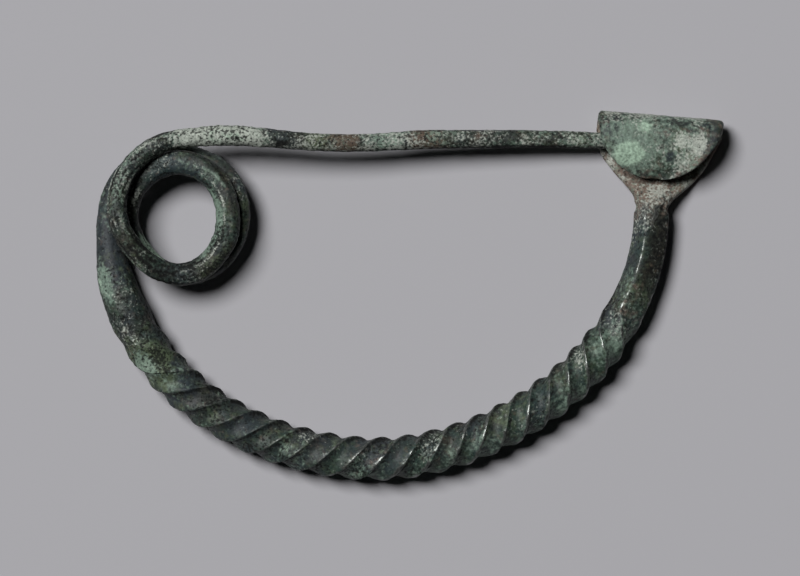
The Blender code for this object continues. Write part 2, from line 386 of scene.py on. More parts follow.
@dataclass(frozen=True)
class Catch:
    """The plate that fans out of the leg, turns up and over, and comes back above the pin."""

    heading_deg: float = 85.2
    length: float = 13.5
    half_thickness: float = 0.65
    sink: float = 0.07
    fold_radius: float = 2.2
    fold_rows: int = 13
    flap_depth: float = 9.03
    flap_drop: float = 1.5
    flap_dome: float = 0.45
    flap_left: float = 8.74
    flap_right: float = 9.25
    left_fullness: float = 2.3
    right_fullness: float = 1.8
    flap_rows: int = 60
    lip_half_thickness: float = 0.45
    fan: tuple = (
        (0.9, 2.60, 2.75, 2.20, 0.40),
        (1.9, 2.95, 3.50, 1.80, 0.85),
        (2.9, 3.70, 4.45, 1.40, 1.00),
        (4.0, 4.90, 5.40, 1.05, 1.00),
        (5.1, 6.00, 6.35, 0.80, 1.00),
        (6.3, 7.15, 7.15, 0.67, 1.00),
        (7.5, 7.95, 7.80, 0.65, 1.00),
        (8.8, 8.35, 8.35, 0.65, 1.00),
        (10.0, 8.60, 8.90, 0.65, 1.00),
    )
    spacing: float = 0.22
    crowding: float = 1.15
    points_around: int = 160

    def line_rows(self, past: np.ndarray, bow: Bow, **shape: np.ndarray | float) -> np.ndarray:
        """Rows on the straight line that carries on from the leg.

        Args:
            past: distances past the end of the bow.
            bow: the bow that the plate grows out of.
            shape: the other columns, by name.

        Returns:
            Rows with their place on the table and the leg's ring.
        """
        heading = math.radians(self.heading_deg)
        return metal_rows(
            len(past),
            x=bow.centre[0] + bow.right_reach + past * math.cos(heading),
            y=bow.centre[1] + past * math.sin(heading),
            half_side=bow.rod[-1][1],
            squareness=bow.rod[-1][2],
            twist=-QUARTER_TURN * bow.twist_quarters[-1][1],
            **shape,
        )

    def fan_rows(self, bow: Bow) -> np.ndarray:
        """The plate's first stretch, where the leg is hammered wide and thin."""
        past, left, right, thickness, flatness = columns(self.fan)
        reach = corner_reach(*bow.rod[-1][1:3])
        leg_height = reach - bow.crest_wear
        return self.line_rows(
            past,
            bow,
            z=leg_height + (thickness - self.sink - leg_height) * flatness,
            flatness=flatness,
            left=left,
            right=right,
            thickness=thickness,
            crown=reach - bow.leg_bevel[-1][1],
        )

    def fold_and_flap_rows(self, bow: Bow) -> np.ndarray:
        """The half turn of the fold, then the half-round flap that curls down above the pin.

        The flap's width at each depth is its full width times the root of one less a power of
        the depth, so that its outline is half a superellipse.
        """
        start = self.length - self.fold_radius - self.half_thickness
        turn = np.linspace(0.0, math.pi, self.fold_rows)
        share = np.sin(QUARTER_TURN * np.arange(1, self.flap_rows + 1) / self.flap_rows)
        back = share * (start - self.length + self.flap_depth)
        past = np.concatenate((start + self.fold_radius * np.sin(turn), start - back))
        share = np.concatenate((np.zeros(self.fold_rows), share))
        top = np.full(self.flap_rows, 2.0 * self.fold_radius)
        height = np.concatenate((self.fold_radius * (1.0 - np.cos(turn)), top))

        depth = np.clip((self.length - past) / self.flap_depth, 0.0, 1.0)
        depth[: self.fold_rows // 2] = 0.0
        thinning = self.half_thickness - self.lip_half_thickness
        return self.line_rows(
            past,
            bow,
            z=self.half_thickness - self.sink + height - self.flap_drop * share**2,
            flatness=1.0,
            left=self.flap_left * np.sqrt(1.0 - depth**self.left_fullness),
            right=self.flap_right * np.sqrt(1.0 - depth**self.right_fullness),
            thickness=self.half_thickness - thinning * share**2,
            dome=self.flap_dome * np.clip(4.0 * share, 0.0, 1.0),
            tipped=1.0,
        )

    def rows(self, bow: Bow) -> np.ndarray:
        """Rows of the whole catch, from the end of the bow to the flap's lip."""
        return np.concatenate((self.fan_rows(bow), self.fold_and_flap_rows(bow)))


@dataclass(frozen=True)
class Grain:
    """Random fields in space that are the same on every run."""

    seed: int

    def draw(self, cells: np.ndarray, which: int) -> np.ndarray:
        """Random numbers from 0 to 1, one to each whole-number cell, by integer hashing.

        Args:
            cells: whole numbers, the last axis being x, y and z.
            which: picks one of several independent numbers for the same cell.

        Returns:
            One number for each cell.
        """
        parts = cells.astype(np.int64).astype(np.uint32)
        mixed = parts[..., 0] * np.uint32(0x9E3779B1)
        mixed = mixed ^ (parts[..., 1] * np.uint32(0x85EBCA77))
        mixed = mixed ^ (parts[..., 2] * np.uint32(0xC2B2AE3D))
        mixed = mixed ^ np.uint32((self.seed * 7919 + which * 104729) & 0xFFFFFFFF)
        for shift, factor in ((15, 0x2C1B3C6D), (12, 0x297A2D39), (15, 0x165667B1)):
            mixed = (mixed ^ (mixed >> np.uint32(shift))) * np.uint32(factor)
        return (mixed >> np.uint32(8)).astype(np.float64) / float(1 << 24)

    def waves(self, points: np.ndarray, size: float) -> np.ndarray:
        """Gradient noise: a random slope at each corner of a cubic lattice, blended smoothly.

        Args:
            points: places in millimetres.
            size: the lattice's spacing in millimetres.

        Returns:
            Values of about -0.7 to 0.7.
        """
        scaled = points / size + 0.37 * self.seed
        cell = np.floor(scaled)
        share = scaled - cell
        eased = share**3 * (share * (share * 6.0 - 15.0) + 10.0)
        total = np.zeros(points.shape[:-1])
        for corner in itertools.product((0.0, 1.0), repeat=3):
            here = cell + corner
            weight = np.prod(np.where(np.array(corner) > 0.0, eased, 1.0 - eased), axis=-1)
            slope = np.stack([self.draw(here, which) for which in range(3)], axis=-1) * 2.0 - 1.0
            total += weight * np.sum(slope * (share - corner), axis=-1)
        return total * 1.3

    def fractal(self, points: np.ndarray, size: float, octaves: int, gain: float = 0.5) -> np.ndarray:
        """Several sizes of waves added up, each half the size of the last and weaker by the gain.

        Args:
            points: places in millimetres.
            size: the largest waves' lattice spacing in millimetres.
            octaves: how many sizes.
            gain: height of each size as a share of the last.

        Returns:
            Values about zero.
        """
        total = np.zeros(points.shape[:-1])
        weight = 1.0
        for octave in range(octaves):
            total += weight * Grain(self.seed + 11 * octave).waves(points, size / 2.0**octave)
            weight *= gain
        return total

    def pits(self, points: np.ndarray, size: float, share: float) -> np.ndarray:
        """Round pits scattered one to a cell: one less the square of the distance over the radius.

        Args:
            points: places in millimetres.
            size: the cells' width in millimetres.
            share: how many of the cells hold a pit, from 0 to 1.

        Returns:
            Depth from 0 at the rim to 1 at the bottom.
        """
        scaled = points / size + 0.61 * self.seed
        cell = np.floor(scaled)
        depth = np.zeros(points.shape[:-1])
        for step in itertools.product((-1.0, 0.0, 1.0), repeat=3):
            here = cell + step
            middle = here + np.stack([self.draw(here, which) for which in range(3)], axis=-1)
            radius = 0.28 + 0.40 * self.draw(here, 3)
            off = np.sum((scaled - middle) ** 2, axis=-1) / radius**2
            full = np.clip(1.0 - off, 0.0, 1.0) * (self.draw(here, 4) < share)
            depth = np.maximum(depth, full)
        return depth


def patch_cover(patch: tuple, along: np.ndarray, aside: np.ndarray) -> np.ndarray:
    """Cover of one patch: its strength times a bell over the distance from its middle.

    Args:
        patch: one row of the patches.
        along: distance of each point along the metal.
        aside: distance of each point to the left of the metal's middle.

    Returns:
        The cover at each point.
    """
    middle_along, middle_aside, reach_along, reach_aside, strength = patch
    off = ((along - middle_along) / reach_along) ** 2
    off += ((aside - middle_aside) / reach_aside) ** 2
    return strength * np.exp(-(off**1.5))


# Cover of each coat before its noise, by distance along in millimetres.
COAT_ALONG = {
    Coat.FILM: (
        (0, 0.4), (50, 0.4), (60, 0.3), (75, 0.3), (120, 0.35), (187, 0.25), (194, 0.2), (202, 0.6),
        (217, 0.4), (242, 0.4), (287, 0.5), (294, 0.4), (303, 0.1), (314, 0.15), (320, 0.3), (332, 0.3),
    ),
    Coat.TEAL: (
        (0, 0.15), (100, 0.25), (192, 0.2), (207, 0.2), (242, 0.4), (277, 0.5), (298, 0.35), (303, 0.1),
        (322, 0.1),
    ),
    Coat.SLATE: (
        (0, 0.2), (187, 0.35), (192, 0.8), (197, 0.7), (202, 0.25), (216, 0.5), (247, 0.45),
        (282, 0.25), (302, 0.45), (308, 0.2),
    ),
    Coat.OLIVE: (
        (0, 0.35), (100, 0.4), (207, 0.35), (242, 0.45), (292, 0.35), (332, 0.3),
    ),
    Coat.MINT: (
        (0, 0.3), (48, 0.3), (52, 0.2), (57, 0.25), (60, 0.6), (69, 0.7), (71.5, 0.25), (78, 0.28),
        (90, 0.22), (98, 0.05), (192, 0.0), (217, 0.05), (250, 0.12), (272, 0.2), (292, 0.15),
        (298, 0.0), (303, 0.2), (307, 0.2), (310, 0.1), (318, 0.45), (323, 0.6), (326, 0.55),
        (328, 0.35), (329.5, 0.1),
    ),
    Coat.CHALK: (
        (0, 0.3), (50, 0.4), (57, 0.4), (60, 0.95), (69, 1.0), (71.5, 0.4), (76, 0.24), (80, 0.14),
        (92, 0.08), (97, 0.03), (112, 0.05), (187, 0.0), (195, -0.1), (202, 0.05), (232, -0.02),
        (280, -0.05), (302, 0.15), (306, 0.25), (312, 0.15), (318, 0.45), (324, 0.4), (329, 0.2),
        (332, 0.0),
    ),
    Coat.LIME: (
        (0, 0.15), (80, 0.0), (120, 0.0), (192, 0.0), (204, 0.2), (209, 0.4), (217, 0.2), (240, 0.15),
        (292, 0.1), (332, 0.15),
    ),
    Coat.BLOOM: (
        (0, -0.3), (192, -0.2), (332, -0.3),
    ),
    Coat.SAND: (
        (0, 0.05), (60, -0.3), (300, -0.2), (304, 0.4), (309, 0.9), (315, 0.8), (319, 0.15), (328, 0.2),
        (332, 0.0),
    ),
    Coat.COPPER: (
        (0, 0.12), (60, 0.0), (72, -0.3), (302, -0.2), (312, 0.1), (318, -0.12), (332, -0.1),
    ),
    Coat.PORES: (
        (0, 0.3), (50, 0.35), (60, 0.40), (68, 0.40), (72, 0.42), (80, 0.42), (100, 0.4), (112, 0.3),
        (187, 0.2), (197, 0.3), (207, 0.42), (217, 0.2), (292, 0.2), (305, 0.22), (312, 0.25),
        (318, 0.08), (332, 0.12),
    ),
}

# How much more of a coat lies on the twist for each millimetre to the left.
LEAN_OF_COATS = {Coat.OLIVE: 0.10, Coat.FILM: -0.08, Coat.MINT: -0.08, Coat.SLATE: 0.04}

# Places where a coat lies thicker or thinner than beside them. Each row is the middle along and
# aside and the reach along and aside, in millimetres, then the strength.
PATCHES = {
    Coat.FILM: (
        (110.0, 1.2, 6.0, 1.2, 0.6), (300.5, -1.3, 7.5, 1.6, -0.3),
    ),
    Coat.TEAL: (
        (122.0, 0.4, 6.0, 1.6, 0.6), (269.3, 0.3, 4.5, 2.5, 0.4), (300.6, 1.6, 2.4, 1.0, 0.6),
    ),
    Coat.SLATE: (
        (55.0, 0.3, 2.6, 2.5, 0.15), (123.5, 0.3, 5.0, 2.0, 0.4), (193.2, 0.5, 5.5, 2.5, 0.7),
        (218.2, -0.5, 3.5, 2.5, 0.3), (247.0, -0.4, 4.0, 2.0, 0.4), (301.0, 1.9, 6.0, 1.2, 0.4),
        (300.5, -1.3, 7.5, 1.6, -0.5), (325.5, -7.0, 2.0, 1.3, 0.9), (325.8, -1.9, 0.9, 0.75, 0.8),
    ),
    Coat.OLIVE: (
        (108.0, -0.9, 8.0, 0.8, 0.4), (300.5, -1.3, 7.5, 1.6, 0.6), (321.5, -8.1, 2.6, 1.5, 0.8),
    ),
    Coat.MINT: (
        (40.4, 0.0, 2.6, 2.5, 0.3), (54.8, 0.0, 2.4, 2.5, -0.3), (30.0, 0.0, 2.8, 2.5, -0.1),
        (64.6, 0.1, 6.0, 2.5, 0.5), (77.5, -0.4, 4.0, 1.5, 0.3), (108.5, 1.3, 7.0, 0.5, 0.6),
        (118.0, 0.2, 4.0, 1.3, 0.4), (110.0, 1.3, 6.0, 0.8, 0.6), (198.5, -1.6, 3.4, 1.0, 0.9),
        (210.7, -1.5, 2.6, 1.3, 0.9), (287.2, 0.0, 6.0, 2.5, 0.25), (300.5, -1.3, 7.5, 1.6, -0.5),
        (325.2, 4.0, 2.6, 3.4, 0.5), (321.6, -4.2, 0.9, 2.4, -0.3), (325.5, -7.0, 2.0, 1.3, -0.3),
        (325.8, -1.9, 0.8, 0.65, -0.6), (321.5, -8.1, 2.6, 1.5, -0.4),
    ),
    Coat.LIME: (
        (13.4, -0.2, 2.0, 2.5, 0.30), (50.5, 0.0, 2.2, 2.5, 0.8), (106.5, -0.6, 7.0, 1.6, 0.4),
        (155.0, 0.0, 9.0, 2.0, 0.2), (168.0, 1.0, 9.0, 2.0, 0.3), (211.5, -0.2, 3.4, 1.8, 0.9),
        (323.3, -3.2, 1.4, 1.3, 0.4),
    ),
    # The bloom row at 140 along is a painted highlight: a pale sliver on the inner strand at the spring's
    # lower left.
    Coat.BLOOM: (
        (64.6, 0.1, 5.4, 1.8, 0.65), (198.6, -2.3, 2.8, 0.5, 0.6), (140.0, 1.2, 3.4, 0.7, 1.2),
        (234.2, -0.6, 1.5, 1.2, 0.65), (325.8, 3.9, 1.8, 2.6, 1.7), (322.3, 2.1, 1.1, 1.3, 0.75),
    ),
    # The chalk row at 107.5 along, a narrow line, is a painted highlight along the upper strand at the
    # spring's right side.
    Coat.CHALK: (
        (13.4, -0.3, 1.8, 1.0, 0.22), (18.2, 0.0, 1.8, 2.5, -0.20), (20.9, 0.2, 0.8, 1.2, 0.30),
        (39.4, 0.0, 2.2, 2.5, -0.14), (43.2, 0.0, 1.4, 2.5, 0.25), (30.0, 0.0, 2.8, 2.5, -0.2),
        (107.5, 0.5, 7.0, 0.25, 0.8), (117.0, 0.3, 3.4, 0.9, 0.25), (304.2, 0.9, 2.4, 1.5, 0.3),
        (307.6, -0.8, 1.4, 2.0, 0.25), (309.4, 4.5, 1.2, 0.8, 0.6), (311.4, 6.4, 1.2, 0.9, 0.6),
        (313.6, 7.8, 1.2, 0.8, 0.6), (309.8, -5.0, 1.2, 1.0, 0.6), (312.0, -6.8, 1.2, 1.0, 0.6),
        (323.5, -3.2, 1.1, 1.1, 0.5), (324.0, -6.0, 1.4, 0.9, 0.6), (321.6, -4.2, 0.9, 2.4, -0.4),
        (326.4, -3.9, 1.3, 1.6, 0.12), (325.5, -7.0, 2.0, 1.3, -0.4), (325.8, -1.9, 0.8, 0.65, -0.6),
        (319.0, 8.6, 6.0, 1.0, -0.5), (321.5, -8.1, 2.6, 1.5, -0.4),
    ),
    Coat.SAND: (
        (310.2, 3.5, 4.0, 3.0, 0.7), (326.0, -4.4, 2.0, 2.4, 0.2),
    ),
    Coat.COPPER: (
        (46.4, 0.3, 2.4, 2.5, 1.0), (35.0, 0.3, 2.6, 2.5, 1.1), (325.8, -1.9, 1.2, 0.9, -0.6),
    ),
    # Painted shade: the first two rows darken the pin's lower side, and the two rows of minus one take some
    # painted crevice shade off the spring's right side. The other rows darken spots on the pin, the spring's
    # bottom, the leg's right face and the catch.
    Coat.DIRT_AND_SHADE: (
        (19.0, 1.15, 13.0, 0.45, 0.75), (45.0, 1.25, 13.0, 0.35, 0.5), (55.5, 0.6, 1.4, 0.6, 0.8),
        (61.8, 0.3, 0.5, 0.5, 0.9), (98.0, 0.0, 6.0, 2.5, 0.35), (110.0, -1.2, 9.0, 1.3, -1.0),
        (157.0, 0.0, 10.0, 2.0, -1.0), (300.5, -1.5, 7.5, 1.6, 0.6), (319.0, 8.7, 6.0, 0.7, 0.3),
    ),
    Coat.PORES: (
        (211.7, 0.4, 2.4, 1.2, 0.35), (323.6, -4.6, 2.6, 3.0, 0.15),
    ),
}


@dataclass(frozen=True)
class Roughening:
    """How the surface is roughened, pitted and streaked, with sizes and heights in millimetres."""

    along: tuple = (0, 50, 60, 72, 80, 187, 197, 205, 217, 227, 292, 302, 308, 320, 332)
    rough: tuple = (.05, .05, .07, .09, .09, .08, .04, .11, .08, .04, .05, .025, .04, .04, .04)
    pitted: tuple = (.05, .05, .12, .14, .13, .10, .03, .18, .12, .04, .05, .03, .06, .06, .06)
    drawn: tuple = (.02, .02, .02, .05, .09, .07, .02, .02, .03, .03, .03, .02, .01, .01, .01)
    forging_size: float = 6.0
    forging_height: float = 0.05
    grit_size: float = 1.1
    crust_height: float = 0.06
    pit_size: float = 0.85
    pit_share: float = 0.5
    hole_size: float = 2.2
    hole_share: float = 0.25
    hole_depth: float = 0.10
    hole_clusters: float = 8.0
    streak_width: float = 0.65
    streak_stretch: float = 7.0

    def amounts(self, along: np.ndarray) -> list[np.ndarray]:
        """Height of the roughness, depth of the pits and height of the streaks at each distance."""
        return [np.interp(along, self.along, each) for each in (self.rough, self.pitted, self.drawn)]


def add_node(tree: NodeTree, kind: str, settings: dict | None = None, links: dict | None = None) -> Node:
    """Add a shader node.

    Args:
        tree: the material's node tree.
        kind: the node's type.
        settings: values by the name of a setting, or by the name or number of an input.
        links: output sockets by the name or number of the input that they feed.

    Returns:
        The node.
    """
    node = tree.nodes.new(kind)
    for name, value in (settings or {}).items():
        if isinstance(name, str) and hasattr(node, name):
            setattr(node, name, value)
        else:
            node.inputs[name].default_value = value
    for name, socket in (links or {}).items():
        tree.links.new(socket, node.inputs[name])
    return node


# Numbers of the mix node's sockets, for colours and for plain values.
MIX_FACTOR, MIX_A, MIX_B, MIX_RESULT = 0, 6, 7, 2
FLOAT_A, FLOAT_B, FLOAT_RESULT = 2, 3, 0


@dataclass(frozen=True)
class Layer:
    """One coat of the patina: where it lies, its colour and how matt it is."""

    coat: Coat
    colour: str
    grain_mm: float
    softness: float
    roughness: float
    strength: float = 1.0
    contrast: float = 2.0
    detail: float = 4.0
    metallic: float = 0.0


@dataclass(frozen=True)
class Shading:
    """A material's nodes, with the few steps that a layered patina is made of."""

    tree: NodeTree
    place: NodeSocket

    def add(self, kind: str, output: int | str, settings: dict, links: dict) -> NodeSocket:
        """Add a node and give one of its outputs."""
        return add_node(self.tree, kind, settings, links).outputs[output]

    def noise(self, size_mm: float, detail: float, seed: float) -> NodeSocket:
        """Cloudy noise of about 0 to 1, whose largest lumps are of the given size."""
        scale = 1.0 / (size_mm * METRES_PER_MM)
        settings = {"noise_dimensions": "4D", "Scale": scale, "Detail": detail, "W": seed}
        return self.add("ShaderNodeTexNoise", 0, settings, {"Vector": self.place})

    def mix(self, factor: NodeSocket, below: NodeSocket, colour: str) -> NodeSocket:
        """Lay a colour over what is below by a factor."""
        settings = {"data_type": "RGBA", MIX_B: linear_colour(colour)}
        return self.add("ShaderNodeMix", MIX_RESULT, settings, {MIX_FACTOR: factor, MIX_A: below})

    def constant(self, number: float) -> NodeSocket:
        """A number to start a chain of blends from."""
        socket = self.add("ShaderNodeValue", 0, {}, {})
        socket.default_value = number
        return socket

    def blend(self, factor: NodeSocket, below: NodeSocket, number: float) -> NodeSocket:
        """Blend a number over what is below by a factor."""
        settings = {"data_type": "FLOAT", FLOAT_B: number}
        return self.add("ShaderNodeMix", FLOAT_RESULT, settings, {MIX_FACTOR: factor, FLOAT_A: below})

    def cover(self, layer: Layer, seed: float) -> NodeSocket:
        """Where a layer lies: its attribute and a noise added up, with a soft threshold.

        Args:
            layer: the coat, its grain and its strength.
            seed: picks the noise.

        Returns:
            Values from 0 to the layer's strength.
        """
        amount = self.add("ShaderNodeAttribute", "Fac", {"attribute_name": layer.coat.value}, {})
        grain = self.noise(layer.grain_mm, layer.detail, seed)
        settings = {"operation": "SUBTRACT", 1: 0.5 + 0.5 * layer.contrast}
        lowered = self.add("ShaderNodeMath", 0, settings, {0: amount})
        settings = {"operation": "MULTIPLY_ADD", 1: layer.contrast}
        total = self.add("ShaderNodeMath", 0, settings, {0: grain, 2: lowered})
        settings = {
            "interpolation_type": "SMOOTHSTEP",
            "From Min": -layer.softness,
            "From Max": layer.softness,
            "To Max": layer.strength,
        }
        return self.add("ShaderNodeMapRange", 0, settings, {"Value": total})


@dataclass(frozen=True)
class BronzePatina:
    """Forged tin bronze under burial patina: dark oxide, with carbonates of copper over it.

    The oxide is nearly black, with a dull sheen where it is smooth. The carbonates lie on it as
    films and crusts from blue-green to pale mint, all of them matt and speckled. A near-black
    coat over them darkens pits and hollows and holds painted shade.
    """

    name: str = "forged_bronze_with_burial_patina"
    oxide: str = "#1e2120"
    oxide_light: str = "#343836"
    oxide_grain_mm: float = 3.0
    roughness: float = 0.5
    specular_level: float = 0.3
    metallic: float = 0.05
    speck_mm: float = 0.34
    speck_range: tuple = (0.62, 1.45)
    bump_mm: float = 0.07
    layers: tuple = (
        Layer(Coat.OLIVE, "#353126", 2.5, 0.5, 0.5, 0.75),
        Layer(Coat.TEAL, "#293d3a", 2.2, 0.5, 0.5, 0.75),
        Layer(Coat.FILM, "#2e4033", 1.2, 0.5, 0.5, 0.7),
        Layer(Coat.SLATE, "#2c3339", 2.8, 0.5, 0.6, 0.8),
        Layer(Coat.LIME, "#56624a", 0.9, 0.4, 0.55, 0.75),
        Layer(Coat.COPPER, "#5a4a3e", 1.2, 0.4, 0.5, 0.8),
        Layer(Coat.SAND, "#7a685d", 1.0, 0.4, 0.7, 0.8),
        Layer(Coat.MINT, "#778a7c", 0.55, 0.35, 0.6, 0.8),
        Layer(Coat.CHALK, "#b2b7ad", 0.35, 0.25, 0.7, 0.75),
        Layer(Coat.BLOOM, "#9fb7a2", 0.8, 0.28, 0.7, 0.92, 1.2),
        Layer(Coat.PORES, "#0b0d0b", 0.4, 0.10, 0.8, 0.85),
        # Near black: painted shade in the spring's crevices, in the groove after each crest of the twist and
        # along the pin's lower side; elsewhere it darkens pits, hollows and spots.
        Layer(Coat.DIRT_AND_SHADE, "#0a0b0a", 0.5, 0.35, 0.9, 0.95),
        Layer(Coat.WORN, "#6d706d", 0.6, 0.35, 0.30, 0.9, metallic=0.85),
    )

    def material(self) -> Material:
        """Build the material: oxide, the layers in order, specks over all, and a fine bump."""
        material = bpy.data.materials.new(self.name)
        material.use_nodes = True
        tree = material.node_tree
        shader = tree.nodes["Principled BSDF"]
        shading = Shading(tree, add_node(tree, "ShaderNodeTexCoord").outputs["Object"])
        clouds = shading.noise(self.oxide_grain_mm, 5.0, 0.5)
        tones = {MIX_A: linear_colour(self.oxide), MIX_B: linear_colour(self.oxide_light)}
        settings = {"data_type": "RGBA"} | tones
        colour = shading.add("ShaderNodeMix", MIX_RESULT, settings, {MIX_FACTOR: clouds})
        roughness = shading.constant(self.roughness)
        metallic = shading.constant(self.metallic)
        for number, layer in enumerate(self.layers):
            factor = shading.cover(layer, 3.7 * (number + 1))
            colour = shading.mix(factor, colour, layer.colour)
            roughness = shading.blend(factor, roughness, layer.roughness)
            metallic = shading.blend(factor, metallic, layer.metallic)

        specks = shading.noise(self.speck_mm, 3.0, 91.0)
        low, high = self.speck_range
        settings = {"From Min": 0.3, "From Max": 0.7, "To Min": low, "To Max": high}
        shade = shading.add("ShaderNodeMapRange", 0, settings, {"Value": specks})
        settings = {"data_type": "RGBA", "blend_type": "MULTIPLY", MIX_FACTOR: 1.0}
        colour = shading.add("ShaderNodeMix", MIX_RESULT, settings, {MIX_A: colour, MIX_B: shade})

        settings = {"Distance": self.bump_mm * METRES_PER_MM, "Strength": 1.0}
        bump = shading.add("ShaderNodeBump", 0, settings, {"Height": specks})
        tree.links.new(colour, shader.inputs["Base Color"])
        tree.links.new(roughness, shader.inputs["Roughness"])
        tree.links.new(bump, shader.inputs["Normal"])
        tree.links.new(metallic, shader.inputs["Metallic"])
        shader.inputs["Specular IOR Level"].default_value = self.specular_level
        return material


@dataclass
class Fibula:
    """The whole brooch: its stretches of metal, its relief and its coats."""

    pin: Pin = field(default_factory=Pin)
    spring: Spring = field(default_factory=Spring)
    bow: Bow = field(default_factory=Bow)
    catch: Catch = field(default_factory=Catch)
    roughening: Roughening = field(default_factory=Roughening)
    finish: BronzePatina = field(default_factory=BronzePatina)
    strand_gap_mm: float = 0.9

    def build(self) -> Object:
        """Make the brooch as one object in the frame's own place.

        Returns:
            The object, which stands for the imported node.
        """
        rings = self.rings()
        points = np.concatenate([ring["points"].reshape(-1, 3) for ring in rings])
        names = [name for name in rings[0] if name != "points"]
        fields = {name: np.concatenate([ring[name].ravel() for ring in rings]) for name in names}
        low, high = (np.array(corner) / METRES_PER_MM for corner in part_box(NODE_NAME))
        middle = 0.5 * (points.min(axis=0) + points.max(axis=0))
        points[:, :2] += 0.5 * (low + high)[:2] - middle[:2]

        faces = self.skin([ring["points"].shape[:2] for ring in rings])
        normals = self.vertex_normals(points, faces)
        covers, lift = self.corrode(points, normals, fields)
        points = points + normals * lift[:, None]
        points[:, 2] = np.maximum(points[:, 2], low[2])
        return self.add_object(points, faces, covers)

    def rings(self) -> list[dict]:
        """Sample the metal finely and lay a ring of points at each step."""
        parts = (self.pin, self.spring, self.bow, self.catch)
        metal = (self.pin.rows(), self.spring.rows(), self.bow.rows(), self.catch.rows(self.bow))
        rows = np.concatenate(metal)
        along = travelled(rows[:, :3])
        ends = np.cumsum([len(stretch) for stretch in metal])
        starts = along[np.concatenate(([0], ends[:-1]))]
        stops = np.append(starts[1:], along[-1])
        rings = []
        for part, start, stop in zip(parts, starts, stops):
            count = math.ceil((stop - start) / part.spacing)
            at = np.linspace(start, stop, count, endpoint=False)
            if part is self.catch:
                left_to_go = (1.0 - np.linspace(0.0, 1.0, count)) ** part.crowding
                at = stop - (stop - start) * left_to_go
            rings.append(self.lay_rings(self.resample(rows, along, at), at, part.points_around))
        return rings

    def resample(self, rows: np.ndarray, along: np.ndarray, at: np.ndarray) -> np.ndarray:
        """Read the rows at new distances: places by a spline, all else along straight lines.

        Args:
            rows: rows of the whole length of metal.
            along: distance of each row.
            at: the distances to read.

        Returns:
            One row for each distance, drawn in to a round end at the pin's tip and the flap's lip.
        """
        fine = np.stack([np.interp(at, along, rows[:, column]) for column in range(len(Column))], axis=1)
        fine[:, :3] = natural_spline(along, rows[:, :3], at)
        tip = np.clip((at + 0.02) / fine[:, Column.HALF_SIDE], 0.0, 1.0)
        fine[:, Column.HALF_SIDE] *= np.sqrt(1.0 - (1.0 - tip) ** 2)
        lip = np.clip((along[-1] - at + 0.01) / self.catch.lip_half_thickness, 0.0, 1.0)
        fine[:, Column.THICKNESS] *= np.sqrt(1.0 - (1.0 - lip) ** 2)
        return fine

    def lay_rings(self, rows: np.ndarray, at: np.ndarray, count: int) -> dict:
        """Points of every ring, and where each lies on the metal.

        A rod's ring is a hollow-faced superellipse turned by the twist. A plate's is a slab with
        half-round edges. The flatness blends one into the other.

        Args:
            rows: one row for each ring.
            at: distance of each ring along the metal.
            count: points in a ring.

        Returns:
            The points, and by name where each lies and how it is shaped there.
        """
        fields = rows[:, :, None].transpose(1, 0, 2)
        face, step = np.divmod(np.arange(count), count // 4)
        share = 2.0 * step / (count // 4) - 1.0
        angle = np.arctan(share) + QUARTER_TURN * face
        square = fields[Column.SQUARENESS]
        powers = np.abs(np.cos(angle)) ** square + np.abs(np.sin(angle)) ** square
        reach = fields[Column.HALF_SIDE] / powers ** (1 / square)
        across_face = 0.5 * (1.0 + share)
        dip = across_face**0.8 * (1.0 - across_face) ** 2 / 0.187
        reach = reach * (1.0 - fields[Column.HOLLOW] * dip)
        rod_across = reach * np.cos(angle + fields[Column.TWIST])
        rod_up = reach * np.sin(angle + fields[Column.TWIST])

        outward = np.where(face % 2 == 0, 0.5 * (share + 1.0), 0.5 * (1.0 - share))
        sideways = np.where(face < 2, -1.0, 1.0)
        upward = np.where((face == 0) | (face == 3), 1.0, -1.0)
        width = np.where(sideways < 0.0, fields[Column.RIGHT], fields[Column.LEFT])
        thickness = fields[Column.THICKNESS]
        edge = np.maximum(np.minimum(width, thickness), 1e-6)
        flat = width - edge
        run = outward * (flat + edge * QUARTER_TURN)
        bend = np.clip((run - flat) / edge, 0.0, QUARTER_TURN)
        plate_across = sideways * (np.minimum(run, flat) + edge * np.sin(bend))
        dome = fields[Column.DOME] * (plate_across / np.maximum(width, 1.0)) ** 2
        plate_up = upward * thickness * np.cos(bend) - dome

        flatness = fields[Column.FLATNESS]
        across = rod_across + (plate_across - rod_across) * flatness
        raised = rod_up + (plate_up - rod_up) * flatness
        over_crown = raised - fields[Column.CROWN]
        up = np.minimum(raised, fields[Column.CROWN])
        across_axes, up_axes = self.ring_axes(rows)
        points = rows[:, None, :3] + across[..., None] * across_axes[:, None]
        points = points + up[..., None] * up_axes[:, None]
        points[..., 2] = np.maximum(points[..., 2], 0.0)
        squared = (flatness < 0.5) * smooth_step(square, 2.4, 3.0)
        return {
            "points": points,
            "along": np.broadcast_to(at[:, None], across.shape),
            "aside": across,
            "above": up,
            "share": share * squared,
            "band": np.broadcast_to(face, across.shape),
            "ridge": np.exp(-((over_crown / 0.17) ** 2)) * (across < 0.0) * (flatness < 0.3),
        }

    def ring_axes(self, rows: np.ndarray) -> tuple[np.ndarray, np.ndarray]:
        """Unit vectors across and up each ring. Rings stand upright, and only the fold tips them.

        Args:
            rows: one row for each ring.

        Returns:
            The vectors to the left and the vectors up.
        """
        tangents = np.gradient(rows[:, :3], axis=0)
        tipped = rows[:, Column.TIPPED] > 0.5
        tangents[~tipped, 2] = 0.0
        tangents /= np.linalg.norm(tangents, axis=1)[:, None]
        across = np.cross((0.0, 0.0, 1.0), tangents)
        heading = math.radians(self.catch.heading_deg)
        across[tipped] = (-math.sin(heading), math.cos(heading), 0.0)
        across /= np.linalg.norm(across, axis=1)[:, None]
        return across, np.cross(tangents, across)

